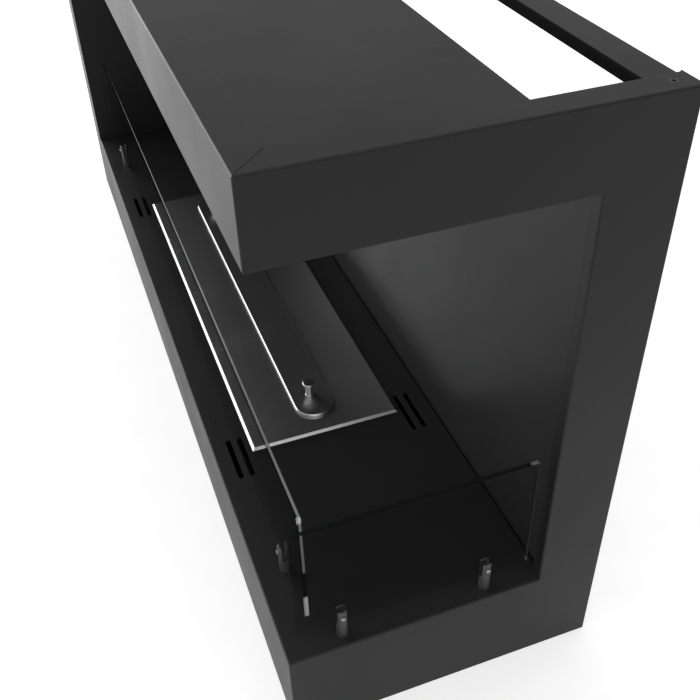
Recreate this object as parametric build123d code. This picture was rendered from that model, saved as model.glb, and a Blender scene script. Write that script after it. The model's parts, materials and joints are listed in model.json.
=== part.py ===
from build123d import *
import os

# Corner fireplace insert: open at the front and at the right-hand end, closed at the left end and the back.
# Frame: millimetres, +X along the length towards the open end, +Y from front to back, +Z up.
# The origin is the middle of the underside.

# ---- outer casing ----
overall_length = 1132.0
overall_depth = 300.0
overall_height = 563.0
sheet = 2.0                     # steel of the outer skins
fold_radius = 1.6               # outside of the bent edges
hearth_height = 104.7           # top of the hearth above the underside
hood_height = 63.5              # face height of the hood band
side_column_width = 65.0        # front face of the closed left-hand column
rear_column_depth = 62.0        # end face of the rear column
top_plate_depth = 192.0         # closed part of the top; the rest is the warm-air outlet
return_flange = 25.0            # flanges turned in along the top and rear edges
outlet_arm = 23.0               # width of the top sheet beside the outlet's ends
joint_chamfer = 0.5             # along the mitred corners of the top
column_return = 12.0            # lip turned in along the rear column's inner edge
stiffening_lip = 16.0           # lips turned down to stiffen an open edge
rear_apron_height = 60.0        # upstand along the back of the base pan
pan_upstand = 15.0              # upstands inside the skins of the base

# ---- inner linings ----
liner_sheet = 1.5
liner_setback = 0.6             # side lining behind the edge of its column
back_liner_setback = 5.0        # back lining behind the rear column's lip
hearth_gap = 2.0                # dark joint between the hearth and the back lining
liner_overlap = 20.0            # side lining carries on below the hearth

# ---- inner frame ----
tube_size = 30.0
tube_wall = 2.0
brace_foot = 15.0
brace_clear = 3.2               # from a vent's end to the brace's flange
rail_leg = 25.0

# ---- burner ----
burner_length = 559.0
burner_front_margin = 40.2      # from the front edge of the hearth to the burner plate
burner_rear_margin = 37.8       # from the burner plate to the rear edge of the hearth
plate_thickness = 3.2
plate_bevel = 2.4
lift_gap = 0.3                  # seat gap of every part that lifts out
tray_inset = 9.0                # tray inside the burner plate's edge
tray_depth = 68.0
tray_wall = 1.2
cutout_clearance = 2.0          # hearth cut-out round the tray
air_under_tray = 10.0
housing_flange = 7.0
mouth_end_margin = 29.5         # from the burner plate's end to the mouth
mouth_width = 32.0
support_height = 10.8           # fuel chamber above the floor of the tray
chamber_wall = 1.2
fibre_clearance = 0.3
fibre_below_plate = 14.0
screen_thickness = 1.0
screen_hole_radius = 1.8
screen_pitch = 12.0
screen_row_offset = 6.0
support_length = 30.0

# ---- lid ----
lid_end_overlap = 7.5           # lid beyond the mouth, at its ends and at its sides
lid_side_overlap = 6.0
lid_thickness = 3.2
lid_bevel = 1.2
rim_clearance = 1.0
rim_wall = 1.2
rim_depth = 8.0
knob_from_lid_end = 36.5
knob_height = 17.0
knob_top_radius = 7.0
knob_neck_radius = 4.2
knob_foot_radius = 4.9
knob_rim = 2.6
knob_neck_start = 1.0
knob_neck_end = 11.4
knob_hollow = 0.3               # how far out the middle of each flare's curve lies, as a share
knob_swell = 0.62               # how far along the flare that point lies
knob_screw_radius = 2.0
knob_screw_reach = 9.0
knob_screw_head_radius = 3.6
knob_screw_head = 2.0

# ---- glass screens ----
glass_thickness = 4.0
glass_arris = 0.5
glass_corner_radius = 3.0
glass_height = 128.0
glass_lift = 16.0               # underside of the glass above the hearth
front_glass_from_end = 28.0     # from the open end of the casing, and from the column
front_glass_from_column = 37.0
front_glass_line = 26.7         # middle of the pane behind the front edge
front_post_inset = 69.0         # post inside the pane's end
end_glass_from_front = 12.0     # from the front of the casing, and from the rear column
end_glass_from_column = 8.0
end_glass_line = 13.5           # middle of the pane inside the open end
end_post_inset = 41.0

# ---- glass posts ----
post_radius = 5.0
post_height = 33.0
post_chamfer = 0.5
pad_thickness = 0.7
pad_clearance = 0.3             # between pad and glass
pad_below_post_top = 0.6
pad_end_inset = 0.2
clamp_screw_radius = 1.5
clamp_head_radius = 2.1
clamp_head_height = 1.3
clamp_below_post_top = 7.0
post_screw_radius = 2.0
post_screw_reach = 9.0
post_screw_head_radius = 3.6
post_screw_head = 2.4
screw_clearance = 0.05          # a screw in its own tapped hole
through_clearance = 0.25        # a screw through a sheet

# ---- hearth openings ----
vent_length = 59.0
vent_width = 5.5
vent_pitch = 12.0
vent_from_plate_end = 2.3       # middle of a vent beyond the burner plate's end
vents_before_plate = 15.0       # middle of a pair of vents off the plate's front and rear edges
vents_behind_plate = 13.1
locating_hole_radius = 1.0
locating_hole_from_plate_end = 60.2
locating_hole_line = 14.6       # behind the front edge of the hearth

# ---- fixings ----
wall_hole_radius = 3.25
wall_hole_low = 130.0
wall_hole_from_top = 93.0
floor_hole_radius = 3.3
floor_hole_from_end = 86.0
floor_hole_from_side = 50.0
casing_screw_radius = 2.0
casing_screw_head_radius = 3.5
casing_screw_head = 1.4
casing_screw_socket = 2.5       # across the flats of the hexagon socket
clamp_screw_socket = 1.5
knob_screw_socket = 2.5
post_screw_socket = 2.5
socket_depth_share = 0.6        # of the height of the screw's head

# ---- places worked out from the sizes above ----
x_near = overall_length / 2
x_far = -overall_length / 2
y_front = -overall_depth / 2
y_rear = overall_depth / 2
z_top = overall_height
z_hearth = hearth_height
z_hood = overall_height - hood_height
column_x = x_far + side_column_width
column_y = y_rear - rear_column_depth
side_face_x = column_x - liner_setback
back_face_y = column_y + sheet + back_liner_setback
hearth_rear_y = back_face_y - hearth_gap
outlet_y = y_front + top_plate_depth
flange_middle = return_flange / 2
inner_near = x_near - return_flange
inner_far = x_far + return_flange
inner_front = y_front + return_flange
outlet_near = x_near - outlet_arm
outlet_far = x_far + outlet_arm

burner_x = (column_x + x_near) / 2
burner_front_y = y_front + burner_front_margin
burner_rear_y = hearth_rear_y - burner_rear_margin
burner_width = burner_rear_y - burner_front_y
burner_y = (burner_front_y + burner_rear_y) / 2
tray_length = burner_length - 2 * tray_inset
tray_width = burner_width - 2 * tray_inset
cutout_length = tray_length + 2 * cutout_clearance
cutout_width = tray_width + 2 * cutout_clearance
z_burner = z_hearth + lift_gap
z_burner_top = z_burner + plate_thickness
z_lid = z_burner_top + lift_gap
z_lid_top = z_lid + lid_thickness
z_fibre_top = z_burner - fibre_below_plate
mouth_length = burner_length - 2 * mouth_end_margin
chamber_depth = tray_depth - tray_wall - support_height
lid_length = mouth_length + 2 * lid_end_overlap
lid_width = mouth_width + 2 * lid_side_overlap
knob_offset = lid_length / 2 - knob_from_lid_end

slot_width = glass_thickness + 2 * (pad_thickness + pad_clearance)
z_glass = z_hearth + glass_lift
z_slot = z_glass - pad_clearance - pad_thickness
z_post_top = z_hearth + post_height
front_glass_y = y_front + front_glass_line
front_glass_length = x_near - column_x - front_glass_from_end - front_glass_from_column
front_glass_x = x_near - front_glass_from_end - front_glass_length / 2
end_glass_x = x_near - end_glass_line
end_glass_length = column_y - y_front - end_glass_from_front - end_glass_from_column
end_glass_y = y_front + end_glass_from_front + end_glass_length / 2
front_post_offset = front_glass_length / 2 - front_post_inset
end_post_offset = end_glass_length / 2 - end_post_inset

# each post: name, place, and the way its clamp screw faces
posts = [
    ("front_post_near", front_glass_x + front_post_offset, front_glass_y, (0, -1, 0)),
    ("front_post_far", front_glass_x - front_post_offset, front_glass_y, (0, -1, 0)),
    ("end_post_front", end_glass_x, end_glass_y - end_post_offset, (1, 0, 0)),
    ("end_post_rear", end_glass_x, end_glass_y + end_post_offset, (1, 0, 0)),
]

right = Vector(1, 0, 0)
back = Vector(0, 1, 0)
up = Vector(0, 0, 1)


def block(x0, x1, y0, y1, z0, z1):
    """A box between three pairs of limits."""
    return Pos((x0 + x1) / 2, (y0 + y1) / 2, (z0 + z1) / 2) * Box(x1 - x0, y1 - y0, z1 - z0)


def rod(centre, direction, radius, length):
    """A cylinder from a point, along a direction."""
    return Plane(origin=centre, z_dir=direction) * extrude(Circle(radius), amount=length)


def mitre(corner, first, second, run):
    """The wedge taken off a skin where it meets its neighbour at 45 degrees, along a run."""
    tip = Vector(*corner)
    side = tip + first * sheet
    face = make_face(Polyline(tip, side, side + second * sheet, close=True))
    return extrude(face, amount=run.length, dir=run)


def fold(corner, first, second, run):
    """What lies outside the bent edge between two faces, along a run."""
    tip = Vector(*corner)
    start = tip + first * fold_radius
    end = tip + second * fold_radius
    middle = start + second * fold_radius - (first + second).normalized() * fold_radius
    face = make_face([Line(start, tip), Line(tip, end), ThreePointArc(end, middle, start)])
    return extrude(face, amount=run.length, dir=run)


def stadium(length, width, z, height):
    """A round-ended bar round the middle of the burner."""
    return Pos(burner_x, burner_y, z) * extrude(SlotOverall(length, width), amount=height)


def tube(x0, x1, y0, y1, z0, z1, along):
    """A square tube, open at the two ends that face along one axis."""
    inner = [[x0, x1], [y0, y1], [z0, z1]]
    for axis, limits in enumerate(inner):
        if axis != along:
            limits[0] += tube_wall
            limits[1] -= tube_wall
    return block(x0, x1, y0, y1, z0, z1) - block(*inner[0], *inner[1], *inner[2])


# ---- outer skins, mitred where they meet ----
front_band = right * (x_near - column_x)
end_band = back * (column_y - y_front)
top_flange_outline = [
    (x_far, y_front, z_top), (x_near, y_front, z_top),
    (inner_near, inner_front, z_top), (inner_far, inner_front, z_top),
]
casing_folds = [
    fold((x_near, y_front, 0), -right, back, up * z_top),
    fold((x_far, y_front, 0), right, back, up * z_top),
    fold((x_near, y_rear, 0), -right, -back, up * z_top),
    fold((x_far, y_rear, 0), right, -back, up * z_top),
    fold((x_far, y_front, z_top), back, -up, right * overall_length),
    fold((x_near, y_front, z_top), -right, -up, back * overall_depth),
    fold((x_far, y_front, z_top), right, -up, back * overall_depth),
    fold((outlet_far, outlet_y, z_top), -back, -up, right * (outlet_near - outlet_far)),
    fold((column_x, y_front, z_hearth), back, -up, front_band),
    fold((column_x, y_front, z_hood), back, up, front_band),
    fold((x_near, y_front, z_hearth), -right, -up, end_band),
    fold((x_near, y_front, z_hood), -right, up, end_band),
    fold((x_near, column_y, z_hearth), -right, back, up * (z_hood - z_hearth)),
]


def top_joints(plate):
    """Upper edges of a top sheet along its mitred corners."""
    upper = plate.faces().sort_by(Axis.Z)[-1].edges()
    return [edge for edge in upper if min(edge.bounding_box().size.X, edge.bounding_box().size.Y) > 0]


def front_frame():
    """C-shaped front: base band, left-hand column and hood band."""
    outline = [
        (x_far, 0), (x_near, 0), (x_near, z_hearth), (column_x, z_hearth),
        (column_x, z_hood), (x_near, z_hood), (x_near, z_top), (x_far, z_top),
    ]
    face = make_face(Polyline(*[(x, y_front, z) for x, z in outline], close=True))
    skin = extrude(face, amount=sheet, dir=back)
    skin -= mitre((x_near, y_front, 0), back, -right, up * z_top)
    skin -= mitre((x_far, y_front, 0), back, right, up * z_top)
    skin -= mitre((column_x, y_front, z_hearth), back, -up, front_band)
    skin -= mitre((column_x, y_front, z_hood), back, up, front_band)
    flange = make_face(Polyline(*top_flange_outline, close=True))
    flange = extrude(flange, amount=sheet, dir=-up)
    flange = chamfer(top_joints(flange), joint_chamfer)
    return skin + flange - casing_folds


def flush_head(seat, way, gap):
    """The cone of a flush screw's head, with its wide end at the seat."""
    cone = Cone(casing_screw_head_radius + gap, casing_screw_radius, casing_screw_head)
    return Plane(origin=seat, z_dir=way) * Pos(0, 0, casing_screw_head / 2) * cone


def socket(top, way, across_flats, head_height):
    """Hexagon socket sunk into the top of a screw's head, along the screw."""
    hexagon = RegularPolygon(across_flats / 2, 6, major_radius=False)
    return Plane(origin=top, z_dir=way) * extrude(hexagon, amount=head_height * socket_depth_share)


def casing_screw_seats(x):
    """Place and direction of the two flush screws at one end of the casing."""
    rail_screw_y = y_rear - sheet - rail_leg / 2
    return [((x, rail_screw_y, z_top), -up), ((x, y_rear, rear_apron_height / 2), -back)]


def without_screw_holes(solid, seats):
    """The solid with the countersunk holes of flush screws taken out."""
    for seat, way in seats:
        solid -= rod(seat, way, casing_screw_radius + through_clearance, sheet)
        solid -= flush_head(seat, way, screw_clearance)
    return solid


def rear_flange(outer_x, inward):
    """Flange turned in along the rear edge of an end skin, with its holes."""
    inner_x = outer_x + inward.X * return_flange
    flange = block(min(outer_x, inner_x), max(outer_x, inner_x), y_rear - sheet, y_rear, 0, z_top)
    flange -= mitre((outer_x, y_rear, z_top), -back, -up, inward * return_flange)
    hole_x = outer_x + inward.X * flange_middle
    for z in (wall_hole_low, z_top - wall_hole_from_top):
        flange -= rod((hole_x, y_rear - sheet, z), back, wall_hole_radius, sheet)
    return without_screw_holes(flange, casing_screw_seats(hole_x)[1:])


def end_frame():
    """C-shaped right-hand end: base band, rear column and hood band, with its turned-in flange."""
    outline = [
        (y_front, 0), (y_rear, 0), (y_rear, z_top), (y_front, z_top),
        (y_front, z_hood), (column_y, z_hood), (column_y, z_hearth), (y_front, z_hearth),
    ]
    face = make_face(Polyline(*[(x_near, y, z) for y, z in outline], close=True))
    skin = extrude(face, amount=sheet, dir=-right)
    skin -= mitre((x_near, y_front, 0), -right, back, up * z_top)
    skin -= mitre((x_near, y_front, z_hearth), -right, -up, end_band)
    skin -= mitre((x_near, y_front, z_hood), -right, up, end_band)
    skin -= mitre((x_near, y_front, z_top), -right, -up, back * overall_depth)
    skin += rear_flange(x_near, -right)
    skin += block(x_near - column_return, x_near, column_y, column_y + sheet, z_hearth, z_hood)
    return skin - casing_folds


def side_casing():
    """Closed left-hand end with its turned-in flange."""
    skin = block(x_far, x_far + sheet, y_front, y_rear, 0, z_top)
    skin -= mitre((x_far, y_front, 0), right, back, up * z_top)
    skin -= mitre((x_far, y_front, z_top), right, -up, back * overall_depth)
    return skin + rear_flange(x_far, right) - casing_folds


def hood_top_plate():
    """Top sheet: closed over the hood, with an arm along each end of the warm-air outlet."""
    outline = [
        (x_far, y_front), (inner_far, inner_front), (inner_near, inner_front), (x_near, y_front),
        (x_near, y_rear), (outlet_near, y_rear), (outlet_near, outlet_y),
        (outlet_far, outlet_y), (outlet_far, y_rear), (x_far, y_rear),
    ]
    face = make_face(Polyline(*[(x, y, z_top) for x, y in outline], close=True))
    plate = extrude(face, amount=sheet, dir=-up)
    plate = chamfer(top_joints(plate), joint_chamfer)
    plate -= mitre((x_near, y_front, z_top), -up, -right, back * overall_depth)
    plate -= mitre((x_far, y_front, z_top), -up, right, back * overall_depth)
    for outer_x, inward in ((x_near, -right), (x_far, right)):
        plate -= mitre((outer_x, y_rear, z_top), -up, -back, inward * return_flange)
        plate = without_screw_holes(plate, casing_screw_seats(outer_x + inward.X * flange_middle)[:1])
    plate += block(outlet_far, outlet_near, outlet_y - sheet, outlet_y, z_top - stiffening_lip, z_top)
    return plate - casing_folds


def deck(z_face, thickness_way, far_x, rear_y):
    """A level plate mitred into the front and end skins; its outer face is at z_face."""
    z0 = min(z_face, z_face + thickness_way * sheet)
    plate = block(far_x, x_near, y_front, rear_y, z0, z0 + sheet)
    plate -= block(far_x - sheet, column_x, y_front, y_front + sheet, z0, z0 + sheet)
    plate -= block(x_near - sheet, x_near, column_y, rear_y + sheet, z0, z0 + sheet)
    inward = up * thickness_way
    plate -= mitre((column_x, y_front, z_face), inward, back, front_band)
    plate -= mitre((x_near, y_front, z_face), inward, -right, end_band)
    return plate - casing_folds


def hearth_plate():
    """Floor of the fire chamber, with the burner cut-out, the vents and the screw holes."""
    plate = deck(z_hearth, -1, column_x, hearth_rear_y)
    lip_low = z_hearth - stiffening_lip
    plate += block(column_x, x_near - sheet, hearth_rear_y - sheet, hearth_rear_y, lip_low, z_hearth)
    plate += block(column_x, column_x + sheet, y_front + sheet, hearth_rear_y, lip_low, z_hearth)
    z_under = z_hearth - sheet
    plate -= Pos(burner_x, burner_y, z_under + sheet / 2) * Box(cutout_length, cutout_width, sheet)
    vent = extrude(SlotOverall(vent_length, vent_width), amount=sheet)
    pair_lines = (burner_front_y - vents_before_plate, burner_rear_y + vents_behind_plate)
    vent_rows = [line + side * vent_pitch / 2 for line in pair_lines for side in (-1, 1)]
    for end in (-1, 1):
        vent_x = burner_x + end * (burner_length / 2 + vent_from_plate_end)
        for vent_y in vent_rows:
            plate -= Pos(vent_x, vent_y, z_under) * vent
        hole_x = burner_x + end * (burner_length / 2 - locating_hole_from_plate_end)
        plate -= rod((hole_x, y_front + locating_hole_line, z_under), up, locating_hole_radius, sheet)
    for _, post_x, post_y, _ in posts:
        plate -= rod((post_x, post_y, z_under), up, post_screw_radius + through_clearance, sheet)
    return plate


def ceiling_plate():
    """Underside of the hood above the fire chamber."""
    return deck(z_hood, 1, side_face_x - liner_sheet, back_face_y + liner_sheet)


# ---- linings and inner frame ----
def back_liner():
    """Back wall of the fire chamber, which also closes the space below the hearth from behind."""
    x0 = side_face_x - liner_sheet
    return block(x0, x_near - sheet, back_face_y, back_face_y + liner_sheet, pan_upstand, z_hood)


def side_liner():
    """Left-hand wall of the fire chamber."""
    low = z_hearth - liner_overlap
    return block(side_face_x - liner_sheet, side_face_x, y_front + sheet, back_face_y, low, z_hood)


def casing_screw_holes():
    """Tapped holes for the flush screws, in the rail and in the base pan's apron."""
    ends = (x_far + flange_middle, x_near - flange_middle)
    seats = [seat for x in ends for seat in casing_screw_seats(x)]
    return [rod(seat, way, casing_screw_radius + screw_clearance, 3 * sheet) for seat, way in seats]


def base_pan():
    """Bottom of the casing, with upstands inside the skins and the rear apron."""
    x0 = x_far + sheet
    x1 = x_near - sheet
    y0 = y_front + sheet
    y1 = y_rear - sheet
    pan = block(x0, x1, y0, y1, 0, sheet)
    pan += block(x0, x1, y0, y0 + sheet, 0, pan_upstand)
    pan += block(x0, x0 + sheet, y0, y1, 0, pan_upstand)
    pan += block(x1 - sheet, x1, y0, y1, 0, pan_upstand)
    pan += block(x0, x1, y1 - sheet, y1, 0, rear_apron_height)
    for side_x in (-1, 1):
        for side_y in (-1, 1):
            hole_x = side_x * (overall_length / 2 - floor_hole_from_end)
            hole_y = side_y * (overall_depth / 2 - floor_hole_from_side)
            pan -= rod((hole_x, hole_y, 0), up, floor_hole_radius, sheet)
    return pan - casing_screw_holes()


def hood_beam():
    """Tube that carries the hood band, behind its front."""
    y0 = y_front + sheet
    z0 = z_hood + sheet
    return tube(x_far + sheet, x_near - sheet, y0, y0 + tube_size, z0, z0 + tube_size, 0)


def hood_end_beam():
    """Tube that carries the open end of the hood, from the front beam to the rear."""
    x1 = x_near - sheet
    y0 = y_front + sheet + tube_size
    z0 = z_hood + sheet
    return tube(x1 - tube_size, x1, y0, y_rear - 2 * sheet, z0, z0 + tube_size, 1)


def rear_upright(x0, z1):
    """Tube that stands on the base pan behind the back lining."""
    y0 = back_face_y + liner_sheet
    return tube(x0, x0 + tube_size, y0, y0 + tube_size, sheet, z1, 2)


def rear_top_rail():
    """Angle along the rear edge of the top, under the end flanges."""
    x0 = x_far + sheet
    x1 = x_near - sheet
    y1 = y_rear - sheet
    z1 = z_top - sheet
    rail = block(x0, x1, y1 - rail_leg, y1, z1 - sheet, z1)
    rail += block(x0, x1, y1 - sheet, y1, z1 - rail_leg, z1)
    return rail - casing_screw_holes()


def base_brace(x):
    """Z-shaped brace that carries the hearth beside the burner."""
    y0 = y_front + 2 * sheet
    y1 = hearth_rear_y - sheet
    z1 = z_hearth - sheet
    brace = block(x - sheet / 2, x + sheet / 2, y0, y1, sheet, z1)
    brace += block(x - sheet / 2, x + brace_foot, y0, y1, sheet, 2 * sheet)
    return brace + block(x - brace_foot, x + sheet / 2, y0, y1, z1 - sheet, z1)


def burner_housing():
    """Open-topped box under the hearth cut-out that the burner hangs in."""
    z1 = z_hearth - sheet
    z0 = z_burner - tray_depth - air_under_tray - liner_sheet
    centre = Pos(burner_x, burner_y, 0)
    outer_length = cutout_length + 2 * liner_sheet
    outer_width = cutout_width + 2 * liner_sheet
    box = centre * Pos(0, 0, (z0 + z1) / 2) * Box(outer_length, outer_width, z1 - z0)
    rim = Box(cutout_length + 2 * housing_flange, cutout_width + 2 * housing_flange, liner_sheet)
    box += centre * Pos(0, 0, z1 - liner_sheet / 2) * rim
    inside_height = z1 - z0 - liner_sheet
    return box - centre * Pos(0, 0, z1 - inside_height / 2) * Box(cutout_length, cutout_width, inside_height)


# ---- burner ----
def bevelled(solid, bevel):
    """A plate with its upper outer edge bevelled."""
    return chamfer(solid.faces().sort_by(Axis.Z)[-1].outer_wire().edges(), bevel)


def burner_plate():
    """Brushed plate round the burner mouth."""
    middle_z = z_burner + plate_thickness / 2
    plate = Pos(burner_x, burner_y, middle_z) * Box(burner_length, burner_width, plate_thickness)
    return bevelled(plate, plate_bevel) - stadium(mouth_length, mouth_width, z_burner, plate_thickness)


def overflow_tray():
    """Outer tray of the burner."""
    middle = Pos(burner_x, burner_y, z_burner - tray_depth / 2)
    hollow = Box(tray_length - 2 * tray_wall, tray_width - 2 * tray_wall, tray_depth)
    return middle * Box(tray_length, tray_width, tray_depth) - middle * Pos(0, 0, tray_wall) * hollow


def fuel_chamber():
    """Round-ended fuel chamber under the mouth."""
    z0 = z_burner - chamber_depth
    outer = stadium(mouth_length + 2 * chamber_wall, mouth_width + 2 * chamber_wall, z0, chamber_depth)
    return outer - stadium(mouth_length, mouth_width, z0 + chamber_wall, chamber_depth)


def chamber_supports():
    """Two saddles between the fuel chamber and the tray."""
    z0 = z_burner - tray_depth + tray_wall
    z1 = z_burner - chamber_depth
    supports = []
    for side in (-1, 1):
        middle = Pos(burner_x + side * mouth_length / 4, burner_y, (z0 + z1) / 2)
        supports.append(middle * Box(support_length, mouth_width, z1 - z0))
    return supports


def fibre_fill():
    """Absorbent ceramic fibre in the fuel chamber."""
    z0 = z_burner - chamber_depth + chamber_wall
    trim = 2 * fibre_clearance
    return stadium(mouth_length - trim, mouth_width - trim, z0, z_fibre_top - z0)


def fibre_screen():
    """Perforated strip on top of the fibre."""
    trim = 2 * fibre_clearance
    strip = stadium(mouth_length - trim, mouth_width - trim, z_fibre_top, screen_thickness)
    count = int((mouth_length - mouth_width) / screen_pitch) + 1
    first = burner_x - (count - 1) * screen_pitch / 2
    holes = []
    for index in range(count):
        for side in (-1, 1):
            place = (first + index * screen_pitch, burner_y + side * screen_row_offset, z_fibre_top)
            holes.append(rod(place, up, screen_hole_radius, screen_thickness))
    return strip - holes


# ---- lid ----
knob_places = {"knob_near": burner_x + knob_offset, "knob_far": burner_x - knob_offset}


def lid_plate():
    """Round-ended lid that puts the fire out."""
    plate = bevelled(stadium(lid_length, lid_width, z_lid, lid_thickness), lid_bevel)
    for x in knob_places.values():
        plate -= rod((x, burner_y, z_lid), up, knob_screw_radius + through_clearance, lid_thickness)
    return plate


def lid_rim():
    """Rim under the lid that centres it in the mouth."""
    outer_trim = 2 * rim_clearance
    inner_trim = outer_trim + 2 * rim_wall
    ring = stadium(mouth_length - outer_trim, mouth_width - outer_trim, z_lid - rim_depth, rim_depth)
    return ring - stadium(mouth_length - inner_trim, mouth_width - inner_trim, z_lid - rim_depth, rim_depth)


def knob(x):
    """Turned spool-shaped knob with a tapped hole in its foot."""
    flare_z = knob_height - knob_rim
    foot_flare = knob_foot_radius - knob_neck_radius
    top_flare = knob_top_radius - knob_neck_radius
    foot_middle = (knob_neck_radius + foot_flare * knob_hollow, knob_neck_start * (1 - knob_swell))
    flare_rise = (flare_z - knob_neck_end) * knob_swell
    flare_middle = (knob_neck_radius + top_flare * knob_hollow, knob_neck_end + flare_rise)
    profile = [
        Line((0, 0), (knob_foot_radius, 0)),
        ThreePointArc((knob_foot_radius, 0), foot_middle, (knob_neck_radius, knob_neck_start)),
        Line((knob_neck_radius, knob_neck_start), (knob_neck_radius, knob_neck_end)),
        ThreePointArc((knob_neck_radius, knob_neck_end), flare_middle, (knob_top_radius, flare_z)),
        Line((knob_top_radius, flare_z), (knob_top_radius, knob_height)),
        Line((knob_top_radius, knob_height), (0, knob_height)),
        Line((0, knob_height), (0, 0)),
    ]
    body = revolve(Plane.XZ * make_face(profile), axis=Axis.Z)
    body = chamfer(body.faces().sort_by(Axis.Z)[-1].edges(), knob_rim / 4)
    body -= rod((0, 0, 0), up, knob_screw_radius + screw_clearance, knob_screw_reach + screw_clearance)
    return Pos(x, burner_y, z_lid_top) * body


def screw(tip_way, seat, radius, reach, head_radius, head_height, across_flats):
    """A round-headed screw: its head sits at the seat, its shank points along tip_way."""
    seat = Vector(*seat)
    way = Vector(*tip_way)
    head = rod(seat - way * head_height, way, head_radius, head_height)
    rims = head.edges().filter_by(GeomType.CIRCLE)
    head = chamfer(rims.sort_by(lambda rim: (rim.center() - seat).dot(way))[0], head_height / 3)
    head -= socket(seat - way * head_height, way, across_flats, head_height)
    return head + rod(seat, way, radius, reach)


def knob_screws():
    """Screws up through the lid into the knobs."""
    reach = lid_thickness + knob_screw_reach
    size = (knob_screw_radius, reach, knob_screw_head_radius, knob_screw_head, knob_screw_socket)
    return [screw((0, 0, 1), (x, burner_y, z_lid), *size) for x in knob_places.values()]


# ---- glass screens and their posts ----
def pane(x, y, length, turn):
    """A toughened pane on edge, with rounded corners and ground arrises."""
    outline = RectangleRounded(length, glass_height, glass_corner_radius)
    flat = extrude(outline, amount=glass_thickness)
    flat = chamfer(flat.faces().filter_by(Axis.Z).edges(), glass_arris)
    upright = Rot(90, 0, 0) * Pos(0, 0, -glass_thickness / 2) * flat
    return Pos(x, y, z_glass + glass_height / 2) * Rot(0, 0, turn) * upright


def slot_block(x, y, clamp_way, width, z0, z1):
    """A block across a post, along the pane that it holds."""
    run = 4 * post_radius
    across = (run, width) if clamp_way[0] == 0 else (width, run)
    return Pos(x, y, (z0 + z1) / 2) * Box(*across, z1 - z0)


def post(x, y, clamp_way):
    """Round post with a slot for the pane, a tapped foot and a tapped clamp hole."""
    body = rod((x, y, z_hearth), up, post_radius, post_height)
    body = chamfer(body.faces().sort_by(Axis.Z)[-1].edges(), post_chamfer)
    body -= slot_block(x, y, clamp_way, slot_width, z_slot, z_post_top + post_height)
    body -= rod((x, y, z_hearth), up, post_screw_radius + screw_clearance, post_screw_reach + screw_clearance)
    centre = (x, y, z_post_top - clamp_below_post_top)
    return body - rod(centre, clamp_way, clamp_screw_radius + screw_clearance, 2 * post_radius)


def pad(x, y, clamp_way):
    """Soft channel that lines a post's slot."""
    z1 = z_post_top - pad_below_post_top
    lining = slot_block(x, y, clamp_way, slot_width, z_slot, z1)
    lining -= slot_block(x, y, clamp_way, slot_width - 2 * pad_thickness, z_slot + pad_thickness, z1)
    return lining & rod((x, y, z_slot), up, post_radius - pad_end_inset, z1 - z_slot)


def clamp_screws():
    """Small screws through the posts' outer cheeks, against the pads."""
    screws = []
    reach = post_radius - slot_width / 2
    size = (clamp_screw_radius, reach, clamp_head_radius, clamp_head_height, clamp_screw_socket)
    for _, x, y, way in posts:
        seat = Vector(x, y, z_post_top - clamp_below_post_top) + Vector(*way) * post_radius
        inward = tuple(-part for part in way)
        screws.append(screw(inward, seat, *size))
    return screws


def post_screws():
    """Screws up through the hearth into the posts."""
    reach = sheet + post_screw_reach
    size = (post_screw_radius, reach, post_screw_head_radius, post_screw_head, post_screw_socket)
    return [screw((0, 0, 1), (x, y, z_hearth - sheet), *size) for _, x, y, _ in posts]


def casing_screws():
    """Flush screws that hold the top rail and the base pan's apron to the end flanges."""
    screws = []
    for x in (x_far + flange_middle, x_near - flange_middle):
        for seat, way in casing_screw_seats(x):
            body = flush_head(seat, way, 0) + rod(seat, way, casing_screw_radius, 3 * sheet)
            screws.append(body - socket(seat, way, casing_screw_socket, casing_screw_head))
    return screws


brace_offset = burner_length / 2 + vent_from_plate_end + vent_length / 2 + brace_clear + brace_foot
nodes = {
    "front_frame": front_frame(),
    "end_frame": end_frame(),
    "side_casing": side_casing(),
    "hood_top_plate": hood_top_plate(),
    "hearth_plate": hearth_plate(),
    "ceiling_plate": ceiling_plate(),
    "back_liner": back_liner(),
    "side_liner": side_liner(),
    "base_pan": base_pan(),
    "hood_beam": hood_beam(),
    "hood_end_beam": hood_end_beam(),
    "rear_upright_near": rear_upright(x_near - 2 * sheet - tube_size, z_hood + sheet),
    "rear_upright_far": rear_upright(x_far + 2 * sheet, z_top - 2 * sheet),
    "rear_top_rail": rear_top_rail(),
    "base_brace_near": base_brace(burner_x + brace_offset),
    "base_brace_far": base_brace(burner_x - brace_offset),
    "burner_housing": burner_housing(),
    "burner_plate": burner_plate(),
    "overflow_tray": overflow_tray(),
    "fuel_chamber": fuel_chamber(),
    "chamber_supports": chamber_supports(),
    "fibre_fill": fibre_fill(),
    "fibre_screen": fibre_screen(),
    "lid_plate": lid_plate(),
    "lid_rim": lid_rim(),
    "knob_screws": knob_screws(),
    "front_glass": pane(front_glass_x, front_glass_y, front_glass_length, 0),
    "end_glass": pane(end_glass_x, end_glass_y, end_glass_length, 90),
    "clamp_screws": clamp_screws(),
    "post_screws": post_screws(),
    "casing_screws": casing_screws(),
}
for name, x in knob_places.items():
    nodes[name] = knob(x)
for name, x, y, way in posts:
    nodes[name] = post(x, y, way)
    nodes[name.replace("post", "pad")] = pad(x, y, way)

os.makedirs("parts", exist_ok=True)
for name, shape in nodes.items():
    pieces = shape if isinstance(shape, list) else [shape]
    solids = [solid for piece in pieces for solid in piece.solids()]
    export_step(Compound(children=solids), f"parts/{name}.step")
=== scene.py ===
import json
import math

import bmesh
import bpy
from mathutils import Matrix, Vector, noise


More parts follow.
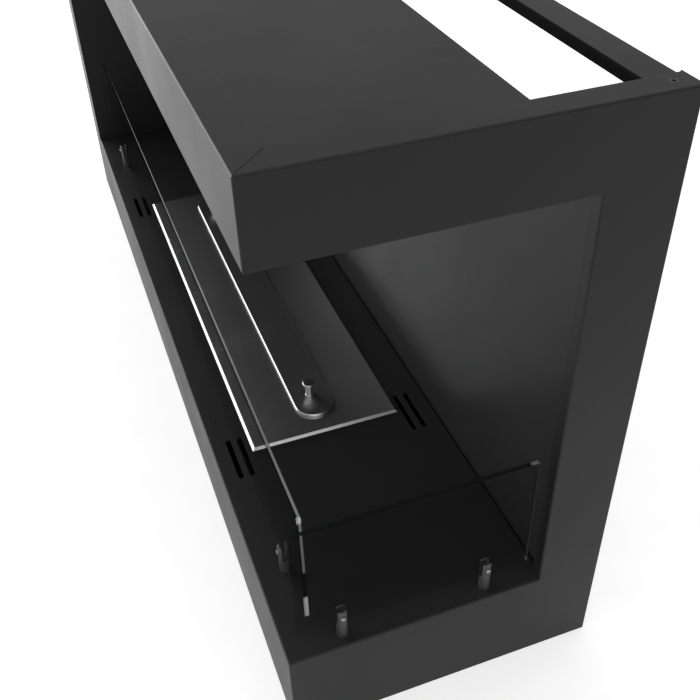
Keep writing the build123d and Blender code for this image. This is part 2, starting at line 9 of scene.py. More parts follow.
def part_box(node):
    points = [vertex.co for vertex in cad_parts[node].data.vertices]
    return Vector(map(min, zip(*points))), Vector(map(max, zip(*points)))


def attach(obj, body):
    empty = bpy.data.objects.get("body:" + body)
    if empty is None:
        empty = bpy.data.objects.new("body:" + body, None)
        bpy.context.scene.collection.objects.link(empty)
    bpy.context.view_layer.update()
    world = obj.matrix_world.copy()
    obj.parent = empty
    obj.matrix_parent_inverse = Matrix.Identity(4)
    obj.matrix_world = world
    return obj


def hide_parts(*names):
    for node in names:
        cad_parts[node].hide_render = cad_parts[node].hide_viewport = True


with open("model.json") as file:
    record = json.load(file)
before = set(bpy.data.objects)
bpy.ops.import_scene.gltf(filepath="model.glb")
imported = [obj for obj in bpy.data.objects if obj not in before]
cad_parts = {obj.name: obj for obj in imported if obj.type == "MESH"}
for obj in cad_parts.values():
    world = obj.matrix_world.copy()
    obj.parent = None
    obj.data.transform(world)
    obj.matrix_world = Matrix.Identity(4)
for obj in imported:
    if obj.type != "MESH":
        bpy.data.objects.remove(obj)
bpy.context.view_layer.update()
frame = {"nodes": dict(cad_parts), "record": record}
nodes = frame["nodes"]
scene = bpy.context.scene
white = (1, 1, 1, 1)
print("frame loaded:", len(nodes), "nodes")


def addNode(tree, kind, **settings):
    node = tree.nodes.new("ShaderNode" + kind)
    for name, value in settings.items():
        setattr(node, name, value)
    return node


def newMaterial(name):
    material = bpy.data.materials.new(name)
    material.use_nodes = True
    tree = material.node_tree
    return material, tree, tree.nodes["Principled BSDF"]


def surfacePlace(tree, stretch=(1, 1, 1)):
    coords = addNode(tree, "TexCoord")  # object coordinates are the part's frame, in metres
    mapping = addNode(tree, "Mapping")
    mapping.inputs["Scale"].default_value = stretch
    tree.links.new(coords.outputs["Object"], mapping.inputs["Vector"])
    return mapping.outputs["Vector"]


def cloud(tree, where, perMetre, detail=2.0):
    texture = addNode(tree, "TexNoise")
    texture.inputs["Scale"].default_value = perMetre
    texture.inputs["Detail"].default_value = detail
    tree.links.new(where, texture.inputs["Vector"])
    return texture.outputs[0]


def spread(tree, value, low, high, fromLow=0.3, fromHigh=0.7):  # a noise texture keeps between 0.3 and 0.7
    ranger = addNode(tree, "MapRange")
    ranger.inputs["From Min"].default_value = fromLow
    ranger.inputs["From Max"].default_value = fromHigh
    ranger.inputs["To Min"].default_value = low
    ranger.inputs["To Max"].default_value = high
    tree.links.new(value, ranger.inputs["Value"])
    return ranger.outputs["Result"]


def blendColours(tree, share, first, second):
    mixer = addNode(tree, "Mix", data_type="RGBA")
    for socket, colour in (("A", first), ("B", second)):
        target = [i for i in mixer.inputs if i.name == socket and i.type == "RGBA"][0]
        if isinstance(colour, bpy.types.NodeSocket):
            tree.links.new(colour, target)
        else:
            target.default_value = colour
    tree.links.new(share, mixer.inputs["Factor"])
    return [o for o in mixer.outputs if o.type == "RGBA"][0]


def calc(tree, operation, first, second):
    maths = addNode(tree, "Math", operation=operation)
    for index, value in enumerate((first, second)):
        if isinstance(value, bpy.types.NodeSocket):
            tree.links.new(value, maths.inputs[index])
        else:
            maths.inputs[index].default_value = value
    return maths.outputs[0]


def bumpOn(tree, height, depth, strength, below=None):
    bump = addNode(tree, "Bump")
    bump.inputs["Distance"].default_value = depth
    bump.inputs["Strength"].default_value = strength
    tree.links.new(height, bump.inputs["Height"])
    if below:
        tree.links.new(below, bump.inputs["Normal"])
    return bump.outputs["Normal"]


def outward(tree, axis):  # the surface direction's share along an axis, from -1 to 1
    geometry = addNode(tree, "NewGeometry")
    parts = addNode(tree, "SeparateXYZ")
    tree.links.new(geometry.outputs["True Normal"], parts.inputs["Vector"])
    return calc(tree, "MULTIPLY", parts.outputs[axis], calc(tree, "SUBTRACT", 1.0, calc(
        tree, "MULTIPLY", geometry.outputs["Backfacing"], 2.0)))


def facing(tree, axis):  # how squarely a surface lies across an axis, from 0 to 1
    return calc(tree, "ABSOLUTE", outward(tree, axis), 0.0)


def edgeMask(tree, radius, sharpness):  # 1 near sharp edges
    rounded = addNode(tree, "Bevel", samples=4)
    rounded.inputs["Radius"].default_value = radius
    geometry = addNode(tree, "NewGeometry")
    dot = addNode(tree, "VectorMath", operation="DOT_PRODUCT")
    tree.links.new(rounded.outputs["Normal"], dot.inputs[0])
    tree.links.new(geometry.outputs["Normal"], dot.inputs[1])
    return spread(tree, dot.outputs["Value"], 1.0, 0.0, 1.0 - sharpness, 1.0)


powderCoat = {
    "colour": (0.0105, 0.0105, 0.0107, 1),
    "paleColour": (0.0155, 0.0155, 0.0158, 1),
    # the edges: wear, and a painted highlight
    "wearAndHighlightColour": (0.035, 0.035, 0.036, 1),
    "wearAndHighlightShare": (0.15, 0.9),      # how much of an edge carries wear and a painted highlight, from place to place
    "wornRoughness": 0.3,
    "roughness": (0.34, 0.42),
    "speckle": (-0.03, 0.03),      # the powder's grain makes it rougher and smoother
    "ior": 1.33,
    "grainPerMetre": 1500,         # fine texture of the powder
    "grainDepth": 0.00005,
    "grainStrength": 0.5,
    "ripplePerMetre": 170,         # slow waves left when the powder melts
    "rippleDepth": 0.00022,
    "rippleStrength": 0.25,
    "cloudPerMetre": 9,
    "edgeRadius": 0.0011,
    "edgeSharpness": 0.35,
}
litChamberCoat = {                    # the hearth and linings: the same black coat painted a little paler, painted light for the dim chamber
    **powderCoat,
    "colour": (0.0165, 0.0165, 0.0168, 1),
    "paleColour": (0.024, 0.024, 0.0244, 1),
}


def makePowderCoat(name, settings):
    material, tree, shader = newMaterial(name)
    where = surfacePlace(tree)
    grain = cloud(tree, where, settings["grainPerMetre"], detail=3.0)
    ripple = cloud(tree, where, settings["ripplePerMetre"], detail=1.0)
    patch = cloud(tree, where, settings["cloudPerMetre"], detail=4.0)
    wearAndHighlight = calc(tree, "MULTIPLY", edgeMask(tree, settings["edgeRadius"], settings["edgeSharpness"]),
                spread(tree, patch, *settings["wearAndHighlightShare"]))
    body = blendColours(tree, spread(tree, grain, 0.0, 1.0), settings["colour"], settings["paleColour"])
    # the edges get wear and a painted highlight
    colour = blendColours(tree, wearAndHighlight, body, settings["wearAndHighlightColour"])
    tree.links.new(colour, shader.inputs["Base Color"])
    lowest, highest = settings["roughness"]
    dull = spread(tree, patch, lowest, highest)
    speckle = spread(tree, grain, *settings["speckle"])
    rough = calc(tree, "ADD", dull, speckle)
    polish = calc(tree, "MULTIPLY", wearAndHighlight, settings["wornRoughness"] - highest)
    tree.links.new(calc(tree, "ADD", rough, polish), shader.inputs["Roughness"])
    shader.inputs["IOR"].default_value = settings["ior"]
    waves = bumpOn(tree, ripple, settings["rippleDepth"], settings["rippleStrength"])
    powder = bumpOn(tree, grain, settings["grainDepth"], settings["grainStrength"], waves)
    tree.links.new(powder, shader.inputs["Normal"])
    return material


brushedSteel = {
    "colour": (0.55, 0.55, 0.555, 1),
    "streakColour": (0.56, 0.56, 0.565, 1),
    "bevelHighlightColour": (0.6, 0.6, 0.61, 1),    # a painted highlight on the ground bevels, brighter than the brushed face
    "bevelSlope": (0.9, 0.97),             # a surface turned up less is a bevel, and more is a face
    "bevelRoughness": 0.24,
    "roughness": (0.264, 0.267),
    "smudge": (-0.008, 0.012),             # finger marks make it rougher and smoother
    "smudgePerMetre": 14,
    "anisotropy": 0.6,
    "grainStretch": (0.006, 1, 1),         # the grain runs along the length
    "finePerMetre": 5200,
    "fineShare": 0.5,                      # of the fine grain, beside the streaks
    "streakPerMetre": 1500,
    "grainDepth": 0.0000015,
    "grainStrength": 0.5,
}
# the lid: the same brushed steel painted darker than the plate, a painted shade
shadedLidSteel = {
    **brushedSteel,
    "colour": (0.43, 0.43, 0.435, 1),
    "streakColour": (0.44, 0.44, 0.445, 1),
    "bevelHighlightColour": (0.5, 0.5, 0.505, 1),
}


def makeBrushedSteel(name, settings):
    material, tree, shader = newMaterial(name)
    where = surfacePlace(tree, settings["grainStretch"])
    fine = cloud(tree, where, settings["finePerMetre"])
    streak = cloud(tree, where, settings["streakPerMetre"], detail=3.0)
    smudge = cloud(tree, surfacePlace(tree), settings["smudgePerMetre"], detail=3.0)
    both = calc(tree, "ADD", calc(tree, "MULTIPLY", fine, settings["fineShare"]),
                calc(tree, "MULTIPLY", streak, 1.0 - settings["fineShare"]))
    bevel = spread(tree, facing(tree, "Z"), 1.0, 0.0, *settings["bevelSlope"])
    colour = blendColours(tree, spread(tree, both, 0.0, 1.0), settings["colour"], settings["streakColour"])
    # the bevels carry a painted highlight
    tree.links.new(blendColours(tree, bevel, colour, settings["bevelHighlightColour"]), shader.inputs["Base Color"])
    lowest, highest = settings["roughness"]
    rough = calc(tree, "ADD", spread(tree, both, lowest, highest), spread(tree, smudge, *settings["smudge"]))
    polish = calc(tree, "MULTIPLY", bevel, settings["bevelRoughness"] - highest)
    tree.links.new(calc(tree, "ADD", rough, polish), shader.inputs["Roughness"])
    shader.inputs["Metallic"].default_value = 1.0
    shader.inputs["Anisotropic"].default_value = settings["anisotropy"]
    grainWay = addNode(tree, "CombineXYZ")
    grainWay.inputs["Y"].default_value = 1.0  # a highlight spreads across the grain
    tree.links.new(grainWay.outputs["Vector"], shader.inputs["Tangent"])
    tree.links.new(bumpOn(tree, both, settings["grainDepth"], settings["grainStrength"]), shader.inputs["Normal"])
    return material


turnedSteel = {
    "colour": (0.6, 0.6, 0.605, 1),
    "grooveColour": (0.7, 0.7, 0.705, 1),
    "faceColour": (0.3, 0.3, 0.303, 1),    # the flat tops, turned across and painted darker: painted shade
    "faceSlope": (0.9, 0.98),              # a surface turned up more than this is such a top
    # a painted highlight along the sharp edges
    "edgeHighlightColour": (0.7, 0.7, 0.71, 1),
    "edgeRadius": 0.0004,
    "edgeSharpness": 0.3,
    "roughness": (0.3, 0.38),
    "smudge": (-0.02, 0.05),
    "smudgePerMetre": 90,
    "metallic": 1.0,
    "grooveStretch": (0.02, 0.02, 1),      # the lathe's rings run round the upright axis
    "groovePerMetre": 5200,
    "grooveDepth": 0.000015,
    "grooveStrength": 0.6,
}
satinSteel = {                             # the glass posts, darkened
    **turnedSteel,
    "colour": (0.07, 0.07, 0.071, 1),
    "grooveColour": (0.09, 0.09, 0.091, 1),
    "faceColour": (0.1, 0.1, 0.101, 1),
    # a stronger painted highlight on the posts' edges, as glints
    "edgeHighlightColour": (0.4, 0.4, 0.405, 1),
    "roughness": (0.4, 0.5),
    "metallic": 0.35,
}


def makeTurnedSteel(name, settings):
    material, tree, shader = newMaterial(name)
    groove = cloud(tree, surfacePlace(tree, settings["grooveStretch"]), settings["groovePerMetre"])
    smudge = cloud(tree, surfacePlace(tree), settings["smudgePerMetre"])
    colour = blendColours(tree, spread(tree, groove, 0.0, 1.0), settings["colour"], settings["grooveColour"])
    flatTop = spread(tree, outward(tree, "Z"), 0.0, 1.0, *settings["faceSlope"])
    # the flat tops get their own tone; on the turned steel it is a painted shade
    colour = blendColours(tree, flatTop, colour, settings["faceColour"])
    edge = edgeMask(tree, settings["edgeRadius"], settings["edgeSharpness"])
    # a painted highlight along the sharp edges
    tree.links.new(blendColours(tree, edge, colour, settings["edgeHighlightColour"]), shader.inputs["Base Color"])
    lowest, highest = settings["roughness"]
    rough = calc(tree, "ADD", spread(tree, groove, lowest, highest), spread(tree, smudge, *settings["smudge"]))
    tree.links.new(rough, shader.inputs["Roughness"])
    shader.inputs["Metallic"].default_value = settings["metallic"]
    rings = bumpOn(tree, groove, settings["grooveDepth"], settings["grooveStrength"])
    tree.links.new(rings, shader.inputs["Normal"])
    return material


foldedSheet = {
    "colour": (0.42, 0.42, 0.42, 1),
    "dullColour": (0.33, 0.33, 0.335, 1),
    "roughness": (0.3, 0.48),
    "rollStretch": (0.15, 1, 1),           # marks of the rolling mill, along the length
    "rollPerMetre": 260,
    "rollDepth": 0.00004,
    "rollStrength": 0.4,
    "stainPerMetre": 22,
}


def makeFoldedSheet(name, settings):
    material, tree, shader = newMaterial(name)
    roll = cloud(tree, surfacePlace(tree, settings["rollStretch"]), settings["rollPerMetre"], detail=4.0)
    stain = cloud(tree, surfacePlace(tree), settings["stainPerMetre"], detail=4.0)
    tree.links.new(blendColours(tree, spread(tree, stain, 0.0, 1.0), settings["colour"], settings["dullColour"]),
                   shader.inputs["Base Color"])
    tree.links.new(spread(tree, roll, *settings["roughness"]), shader.inputs["Roughness"])
    shader.inputs["Metallic"].default_value = 1.0
    tree.links.new(bumpOn(tree, roll, settings["rollDepth"], settings["rollStrength"]), shader.inputs["Normal"])
    return material


brightScrew = {
    "colour": (0.5, 0.5, 0.505, 1),
    "dullColour": (0.34, 0.34, 0.345, 1),
    # a painted highlight along the screws' sharp edges
    "edgeHighlightColour": (0.75, 0.75, 0.76, 1),
    "edgeRadius": 0.0002,
    "edgeSharpness": 0.3,
    "roughness": (0.18, 0.34),
    "metallic": 1.0,
    "spotPerMetre": 600,
    "spotDepth": 0.00002,
    "spotStrength": 0.3,
}
blackScrew = {
    **brightScrew,
    "colour": (0.02, 0.02, 0.02, 1),
    "dullColour": (0.035, 0.034, 0.033, 1),
    "edgeHighlightColour": (0.08, 0.08, 0.08, 1),
    "metallic": 0.6,
    "spotPerMetre": 900,
}


def makeScrewSteel(name, settings):
    material, tree, shader = newMaterial(name)
    spots = cloud(tree, surfacePlace(tree), settings["spotPerMetre"], detail=3.0)
    body = blendColours(tree, spread(tree, spots, 0.0, 1.0), settings["colour"], settings["dullColour"])
    edge = edgeMask(tree, settings["edgeRadius"], settings["edgeSharpness"])
    # a painted highlight along the sharp edges
    tree.links.new(blendColours(tree, edge, body, settings["edgeHighlightColour"]), shader.inputs["Base Color"])
    tree.links.new(spread(tree, spots, *settings["roughness"]), shader.inputs["Roughness"])
    shader.inputs["Metallic"].default_value = settings["metallic"]
    tree.links.new(bumpOn(tree, spots, settings["spotDepth"], settings["spotStrength"]), shader.inputs["Normal"])
    return material


glass = {
    "colour": (0.002, 0.0022, 0.0021, 1),
    "faceAlpha": (0.09, 0.12),             # how much the clear face dims what lies behind, dust included
    "specular": 0.0,                       # no gloss, which would lay the white floor over the chamber
    "ior": 1.5,
    "dustPerMetre": 45,
    "dustRoughness": (0.0, 0.02),
    "groundSlope": (0.85, 0.95),           # a surface turned from the face more than this is ground
    "grindPerMetre": 2200,
    "grindDepth": 0.00003,
    "grindStrength": 0.5,
    "edgeRoughness": 0.3,
    "edgeSlope": (0.3, 0.5),               # a surface turned more than this way is the end or the top
    "undersideSlope": (-0.5, -0.2),
    "farEndSlope": (-0.6, -0.3),
    "lineSoftness": 0.0002,
    "arrisColour": (0.006, 0.0062, 0.0061, 1),     # painted shade: the dark part of an edge, beside its painted bright line
    "arrisShown": 0.6,
    "hiddenColour": (0.03, 0.031, 0.0305, 1),      # the underside and the end turned from the light
    "hiddenShown": 0.12,
    # painted shade: a darker band on the front pane's end edge
    "shadeBandColour": (0.012, 0.0124, 0.0122, 1),
}
panes = {
    "front_glass": {
        "across": "Y",
        "along": "X",
        "line": ((-0.12338, -0.00098), (-0.12223, 0.00163)),    # the painted bright line's sides, and how they widen
        # the ground edges: their pale ground tone with painted light and shade, by which way each edge faces
        "topColour": (0.28, 0.287, 0.284, 1),
        "farTopReflectionColour": (0.54, 0.555, 0.548, 1),
        "fading": (0.2, 0.42),             # where the top's line turns paler towards the far end, a painted reflection
        "endColour": (0.21, 0.216, 0.213, 1),
        # where the end edge carries painted shade
        "shadeBand": ("end", "Z", 0.149, 0.1815),
        "glintColour": (0.6, 0.615, 0.61, 1),
        "glints": [("end", "Z", 0.2425, 0.25), ("end", "Z", 0.12, 0.149)],    # where the edge gathers light
    },
    "end_glass": {
        "across": "X",
        "along": "Y",
        "line": ((0.551, 0.0), (0.554, 0.0)),
        # the top edge painted dark and the end edge lit: painted shade and light
        "topColour": (0.012, 0.0125, 0.0123, 1),
        "endColour": (0.036, 0.0372, 0.0366, 1),
        "glintColour": (0.19, 0.195, 0.193, 1),
        "glints": [("top", "Y", 0.0715, 0.082), ("end", "Z", 0.12, 0.1245)],
    },
}


def within(tree, axis, low, high, soft=0.001):  # 1 between two places along an axis
    parts = addNode(tree, "SeparateXYZ")
    tree.links.new(surfacePlace(tree), parts.inputs["Vector"])
    return calc(tree, "MULTIPLY", spread(tree, parts.outputs[axis], 0.0, 1.0, low - soft, low + soft),
                spread(tree, parts.outputs[axis], 1.0, 0.0, high - soft, high + soft))


def makeGlass(name, pane, settings):
    material, tree, shader = newMaterial(name)
    squareness = facing(tree, pane["across"])
    ground = spread(tree, squareness, 1.0, 0.0, *settings["groundSlope"])  # 1 on the edges and their bevels
    lengthwise = outward(tree, pane["along"])
    upwards = outward(tree, "Z")
    edges = {"end": spread(tree, lengthwise, 0.0, 1.0, *settings["edgeSlope"]),
             "top": spread(tree, upwards, 0.0, 1.0, *settings["edgeSlope"])}
    hidden = calc(tree, "MAXIMUM", spread(tree, upwards, 1.0, 0.0, *settings["undersideSlope"]),
                  spread(tree, lengthwise, 1.0, 0.0, *settings["farEndSlope"]))
    places = addNode(tree, "SeparateXYZ")
    tree.links.new(surfacePlace(tree), places.inputs["Vector"])
    sides = []
    soft = settings["lineSoftness"]
    for (start, widening), (outside, inside) in zip(pane["line"], ((0.0, 1.0), (1.0, 0.0))):
        drift = calc(tree, "MULTIPLY", places.outputs[pane["along"]], widening)
        offset = calc(tree, "SUBTRACT", places.outputs[pane["across"]], drift)
        sides.append(spread(tree, offset, outside, inside, start - soft, start + soft))
    core = calc(tree, "MULTIPLY", *sides)
    dust = cloud(tree, surfacePlace(tree), settings["dustPerMetre"], detail=4.0)
    grind = cloud(tree, surfacePlace(tree), settings["grindPerMetre"])
    # the edges' colours carry painted light and shade
    top = pane["topColour"]
    if "fading" in pane:
        far = spread(tree, places.outputs[pane["along"]], 1.0, 0.0, *pane["fading"])
        top = blendColours(tree, far, top, pane["farTopReflectionColour"])
    edge = blendColours(tree, edges["end"], top, pane["endColour"])
    # a band of painted shade on the end edge
    if "shadeBand" in pane:
        where, *band = pane["shadeBand"]
        shadeBand = calc(tree, "MULTIPLY", edges[where], within(tree, *band))
        edge = blendColours(tree, shadeBand, edge, settings["shadeBandColour"])
    edge = blendColours(tree, core, settings["arrisColour"], edge)
    for where, *band in pane["glints"]:
        glint = calc(tree, "MULTIPLY", edges[where], within(tree, *band))
        edge = blendColours(tree, glint, edge, pane["glintColour"])
    edge = blendColours(tree, hidden, edge, settings["hiddenColour"])
    tree.links.new(blendColours(tree, ground, settings["colour"], edge), shader.inputs["Base Color"])
    haze = spread(tree, dust, *settings["dustRoughness"])
    tree.links.new(calc(tree, "ADD", haze, calc(tree, "MULTIPLY", ground, settings["edgeRoughness"])),
                   shader.inputs["Roughness"])
    solid = spread(tree, core, settings["arrisShown"], 1.0, 0.0, 1.0)
    shown = calc(tree, "MULTIPLY", calc(tree, "MULTIPLY", ground, solid),
                 spread(tree, hidden, 1.0, settings["hiddenShown"], 0.0, 1.0))
    dusty = spread(tree, dust, *settings["faceAlpha"])
    tree.links.new(calc(tree, "MAXIMUM", shown, dusty), shader.inputs["Alpha"])
    shader.inputs["IOR"].default_value = settings["ior"]
    shader.inputs["Specular IOR Level"].default_value = settings["specular"]
    flat = addNode(tree, "NewGeometry").outputs["True Normal"]  # keeps the faces flat up to the bevels
    ridges = bumpOn(tree, calc(tree, "MULTIPLY", grind, ground), settings["grindDepth"],
                    settings["grindStrength"], flat)
    tree.links.new(ridges, shader.inputs["Normal"])
    return material


siliconePad = {
    "colour": (0.03, 0.03, 0.031, 1),
    "dustyColour": (0.06, 0.06, 0.06, 1),
    "roughness": (0.5, 0.65),
    "bloomPerMetre": 400,                  # the dull film on its surface
    "bloomDepth": 0.00004,
    "bloomStrength": 0.4,
}


def makeSilicone(name, settings):
    material, tree, shader = newMaterial(name)
    bloom = cloud(tree, surfacePlace(tree), settings["bloomPerMetre"], detail=3.0)
    tree.links.new(blendColours(tree, spread(tree, bloom, 0.0, 1.0), settings["colour"], settings["dustyColour"]),
                   shader.inputs["Base Color"])
    tree.links.new(spread(tree, bloom, *settings["roughness"]), shader.inputs["Roughness"])
    tree.links.new(bumpOn(tree, bloom, settings["bloomDepth"], settings["bloomStrength"]),
                   shader.inputs["Normal"])
    return material


ceramicBoard = {
    "colour": (0.78, 0.76, 0.71, 1),
    "shadeColour": (0.6, 0.58, 0.54, 1),
    "roughness": (0.85, 0.98),
    "sheen": 0.15,
    "fibreStretch": (0.25, 1, 1),          # the fibres lie along the length
    "fibrePerMetre": 1400,
    "fibreDepthShare": 0.2,                # of the tufts' depth
    "fibreStrength": 0.8,
    "tuftPerMetre": 160,
    "tuftDepth": 0.0002,
    "tuftStrength": 0.7,
}
ceramicWool = {**ceramicBoard, "tuftDepth": 0.0012}


def makeCeramic(name, settings):
    material, tree, shader = newMaterial(name)
    fibres = cloud(tree, surfacePlace(tree, settings["fibreStretch"]), settings["fibrePerMetre"], detail=4.0)
    tufts = cloud(tree, surfacePlace(tree), settings["tuftPerMetre"], detail=3.0)
    tree.links.new(blendColours(tree, spread(tree, fibres, 0.0, 1.0), settings["shadeColour"], settings["colour"]),
                   shader.inputs["Base Color"])
    tree.links.new(spread(tree, tufts, *settings["roughness"]), shader.inputs["Roughness"])
    shader.inputs["Sheen Weight"].default_value = settings["sheen"]
    coarse = bumpOn(tree, tufts, settings["tuftDepth"], settings["tuftStrength"])
    fibreDepth = settings["tuftDepth"] * settings["fibreDepthShare"]
    tree.links.new(bumpOn(tree, fibres, fibreDepth, settings["fibreStrength"], coarse), shader.inputs["Normal"])
    return material


finishes = {
    "black_coat": makePowderCoat("Matt black powder coat", powderCoat),
    "brushed_stainless": makeBrushedSteel("Brushed steel", brushedSteel),
    "folded_stainless": makeFoldedSheet("Folded steel sheet", foldedSheet),
    "turned_stainless": makeTurnedSteel("Turned steel", turnedSteel),
    "satin_steel": makeTurnedSteel("Dark satin steel", satinSteel),
    "steel_screw": makeScrewSteel("Bright screws", brightScrew),
    "black_screw": makeScrewSteel("Blackened screws", blackScrew),
    "silicone_pad": makeSilicone("Black silicone", siliconePad),
    "ceramic_board": makeCeramic("Ceramic board", ceramicBoard),
    "ceramic_fibre": makeCeramic("Ceramic wool", ceramicWool),
}
litChamberFinish = makePowderCoat("Chamber coat, painted paler", litChamberCoat)
ownFinishes = {
    "hearth_plate": litChamberFinish,
    "side_liner": litChamberFinish,
    "back_liner": litChamberFinish,
    "lid_plate": makeBrushedSteel("Brushed steel lid, painted darker", shadedLidSteel),
    **{name: makeGlass(name.replace("_", " "), pane, glass) for name, pane in panes.items()},
}
for part in frame["record"]["subparts"]:
    name = part["node"]
    nodes[name].data.materials.clear()
    nodes[name].data.materials.append(ownFinishes.get(name) or finishes[part["material_slot"]])
print("finishes on", len(nodes), "nodes")


wool = {
    "ringStep": 0.0026,
    "aroundStep": 0.004,
    "turnSteps": 12,       # points round each end
    "dip": 0.0016,         # the tufted top lies up to this far below the piece's upper face
    "tuft": 0.006,         # from one tuft to the next
}


def makeWool():
    low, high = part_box("fibre_fill")
    middle = (low + high) / 2
    halfWidth = (high.y - low.y) / 2
    halfRun = (high.x - low.x) / 2 - halfWidth
    straight = max(2, int(2 * halfRun / wool["aroundStep"]))
    turn = wool["turnSteps"]
    mesh = bmesh.new()

    def outline(radius, z, dipDepth):
        points = [(halfRun - 2 * halfRun * i / straight, radius) for i in range(straight)]
        points += [(-halfRun - radius * math.sin(math.pi * i / turn), radius * math.cos(math.pi * i / turn))
                   for i in range(turn)]
        points += [(-x, -y) for x, y in points]
        ring = []
        for x, y in points:
            tuft = noise.noise(Vector((x, y, 0)) / wool["tuft"]) * 0.5 + 0.5  # from 0 to 1
            ring.append(mesh.verts.new((middle.x + x, middle.y + y, z - dipDepth * tuft)))
        return ring

    rings = [outline(halfWidth, low.z, 0.0), outline(halfWidth, high.z - wool["dip"], 0.0)]
    count = int(halfWidth / wool["ringStep"])
    for step in range(1, count):
        rings.append(outline(halfWidth * (1 - step / count), high.z, wool["dip"]))
    for outer, inner in zip(rings, rings[1:]):
        for i in range(len(outer)):
            j = (i + 1) % len(outer)
            mesh.faces.new((outer[i], outer[j], inner[j], inner[i]))
    mesh.faces.new(list(reversed(rings[0])))
    bmesh.ops.triangulate(mesh, faces=[mesh.faces.new(rings[-1])])
    bmesh.ops.recalc_face_normals(mesh, faces=mesh.faces)
    data = bpy.data.meshes.new("ceramicWool")
    mesh.to_mesh(data)
    mesh.free()
    data.shade_smooth()
    piece = bpy.data.objects.new("ceramicWool", data)
    scene.collection.objects.link(piece)
    data.materials.append(finishes["ceramic_fibre"])
    return piece


woolPiece = makeWool()
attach(woolPiece, "burner")
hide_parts("fibre_fill")
print("wool made")


def seenDirectly(tree):  # 1 for the camera and for mirror images, 0 for light that falls on the object
    rays = addNode(tree, "LightPath")
    cameraOrGloss = calc(tree, "MAXIMUM", rays.outputs["Is Camera Ray"], rays.outputs["Is Glossy Ray"])
    return calc(tree, "MAXIMUM", cameraOrGloss, rays.outputs["Is Transmission Ray"])


floor = {
    "size": 60.0,
    "below": 0.0002,
    "colour": (0.84, 0.84, 0.84, 1),
    "patchColour": (0.8, 0.8, 0.8, 1),
    "patchPerMetre": 30,
    "roughness": 0.9,
    "specular": 0.1,
    "glow": 0.5,           # makes the floor white to the eye
    "mirroredGlow": 0.29,  # and in a reflection
}


def makeFloor():
    data = bpy.data.meshes.new("studioFloor")
    half = floor["size"] / 2
    corners = [(-half, -half), (half, -half), (half, half), (-half, half)]
    data.from_pydata([(x, y, -floor["below"]) for x, y in corners], [], [(0, 1, 2, 3)])
    piece = bpy.data.objects.new("studioFloor", data)
    scene.collection.objects.link(piece)
    material, tree, shader = newMaterial("Pale studio floor")
    patch = cloud(tree, surfacePlace(tree), floor["patchPerMetre"])
    tree.links.new(blendColours(tree, spread(tree, patch, 0.0, 1.0), floor["colour"], floor["patchColour"]),
                   shader.inputs["Base Color"])
    shader.inputs["Roughness"].default_value = floor["roughness"]
    shader.inputs["Specular IOR Level"].default_value = floor["specular"]
    shader.inputs["Emission Color"].default_value = white
    rays = addNode(tree, "LightPath")
    straight = calc(tree, "MULTIPLY", rays.outputs["Is Camera Ray"], floor["glow"] - floor["mirroredGlow"])
    shown = calc(tree, "ADD", straight, calc(tree, "MULTIPLY", seenDirectly(tree), floor["mirroredGlow"]))
    tree.links.new(shown, shader.inputs["Emission Strength"])
    data.materials.append(material)


studio = {
    "ambient": 0.65,           # sky light that falls on the object
    "seen": 1.0,               # the sky behind the object
    "mirroredLow": 0.42,       # the same sky in a reflection, at the horizon
    "mirroredAbove": 0.65,     # and overhead
    "brightening": (0.15, 0.6),    # heights in the sky between which it changes
    "lamps": [
        {"name": "frontSoftbox", "at": (-2.3, -2.0, 1.0), "size": (2.8, 2.0), "watts": 55},
        {"name": "farSoftbox", "at": (-3.2, -0.8, 0.5), "size": (1.4, 0.9), "watts": 5},
        {"name": "sideSoftbox", "at": (2.8, -0.9, 2.0), "size": (1.8, 1.8), "watts": 7},
        {"name": "topSoftbox", "at": (0.0, 0.4, 3.2), "size": (2.6, 1.4), "watts": 7},
    ],
    "aim": (0.0, 0.0, 0.25),
}


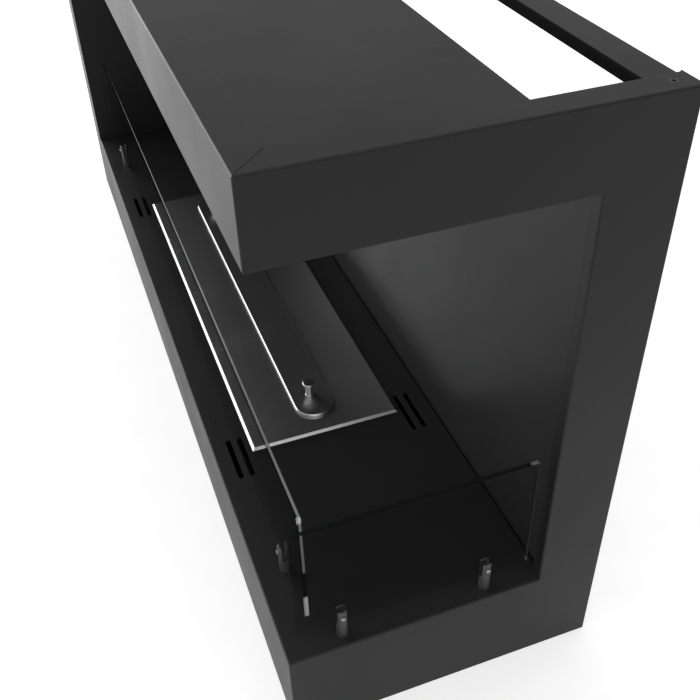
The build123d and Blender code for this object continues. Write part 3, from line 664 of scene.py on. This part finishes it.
def makeStudio():
    world = bpy.data.worlds.new("Studio")
    scene.world = world
    world.use_nodes = True
    tree = world.node_tree
    background = tree.nodes["Background"]
    background.inputs["Color"].default_value = white
    height = addNode(tree, "SeparateXYZ")
    tree.links.new(addNode(tree, "TexCoord").outputs["Generated"], height.inputs["Vector"])
    above = spread(tree, height.outputs["Z"], studio["mirroredLow"], studio["mirroredAbove"],
                   *studio["brightening"])
    rays = addNode(tree, "LightPath")
    behind = calc(tree, "MULTIPLY", rays.outputs["Is Camera Ray"], studio["seen"])
    shown = calc(tree, "MAXIMUM", behind, above)
    share = calc(tree, "MULTIPLY", seenDirectly(tree), calc(tree, "SUBTRACT", shown, studio["ambient"]))
    tree.links.new(calc(tree, "ADD", share, studio["ambient"]), background.inputs["Strength"])
    for lamp in studio["lamps"]:
        data = bpy.data.lights.new(lamp["name"], "AREA")
        data.shape = "RECTANGLE"
        data.size, data.size_y = lamp["size"]
        data.energy = lamp["watts"]
        piece = bpy.data.objects.new(lamp["name"], data)
        piece.location = lamp["at"]
        towards = Vector(studio["aim"]) - Vector(lamp["at"])
        piece.rotation_euler = towards.to_track_quat("-Z", "Y").to_euler()
        scene.collection.objects.link(piece)


photoCamera = {
    "azimuth": 70.787,        # degrees round from straight in front
    "elevation": 38.851,
    "roll": 1.836,
    "at": (0.99812, -0.23707, 0.79451),
    "focalPixels": 918.96,    # on a picture of 700 by 700
    "picturePixels": 700,
    "sensor": 36.0,
    "nearest": 0.01,
}


def makeCamera():
    azimuth, elevation, roll = (math.radians(photoCamera[k]) for k in ("azimuth", "elevation", "roll"))
    ahead = Vector((-math.sin(azimuth) * math.cos(elevation), math.cos(azimuth) * math.cos(elevation),
                    -math.sin(elevation)))
    level = ahead.cross(Vector((0, 0, 1))).normalized()
    down = ahead.cross(level)
    right = level * math.cos(roll) + down * math.sin(roll)
    downRolled = down * math.cos(roll) - level * math.sin(roll)
    data = bpy.data.cameras.new("photoCamera")
    data.sensor_width = photoCamera["sensor"]
    data.lens = photoCamera["focalPixels"] / photoCamera["picturePixels"] * photoCamera["sensor"]
    data.clip_start = photoCamera["nearest"]
    piece = bpy.data.objects.new("photoCamera", data)
    turn = Matrix((right, -downRolled, -ahead)).transposed().to_4x4()
    piece.matrix_world = Matrix.Translation(photoCamera["at"]) @ turn
    scene.collection.objects.link(piece)
    scene.camera = piece


makeFloor()
makeStudio()
makeCamera()
scene.view_settings.view_transform = "Standard"
print("studio, lamps and camera ready")
